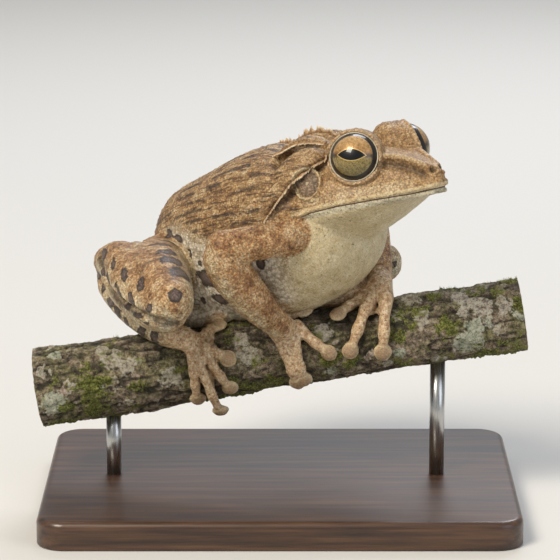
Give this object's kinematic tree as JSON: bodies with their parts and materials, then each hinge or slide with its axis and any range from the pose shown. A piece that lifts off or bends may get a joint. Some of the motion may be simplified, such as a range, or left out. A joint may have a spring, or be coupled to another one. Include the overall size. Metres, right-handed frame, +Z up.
{
  "type": "tree frog model on a perch",
  "caption": "Life-size still model of a file-eared tree frog crouched on a sloping cut branch, with raised head and serrated crests, held on a flat display stand.",
  "frame": {"origin": "middle of the underside of the stand's base", "axes": "+X along the branch towards its raised end and the frog's head, +Y away from the viewer of the picture, +Z up"},
  "size_m": [0.1052, 0.072, 0.0838],
  "materials": {
    "back_skin": "finely granular, brown with darker streaks and bars",
    "pale_skin": "smooth, cream with fine dark specks",
    "toe_skin": "smooth and slightly moist",
    "eye": "clear gloss over a bronze iris",
    "eardrum": "thin, smooth and slightly glossy",
    "bark": "rough bark with lichen and moss",
    "dark_wood": "satin varnish",
    "steel": "fine brushed"
  },
  "bodies": {
    "root": {"head": "back_skin", "lower_jaw": "pale_skin", "eye_right": "eye", "eye_left": "eye", "tympanum_right": "eardrum", "tympanum_left": "eardrum", "torso": "back_skin", "upper_arm_right": "back_skin", "forearm_right": "back_skin", "hand_right": "toe_skin", "upper_arm_left": "back_skin", "forearm_left": "back_skin", "hand_left": "toe_skin", "thigh_right": "back_skin", "shank_right": "back_skin", "tarsus_right": "back_skin", "foot_right": "toe_skin", "thigh_left": "back_skin", "shank_left": "back_skin", "tarsus_left": "back_skin", "foot_left": "toe_skin", "perch": "bark", "stand_base": "dark_wood", "stand_rod_left": "steel", "stand_rod_right": "steel"}
  },
  "joints": []
}
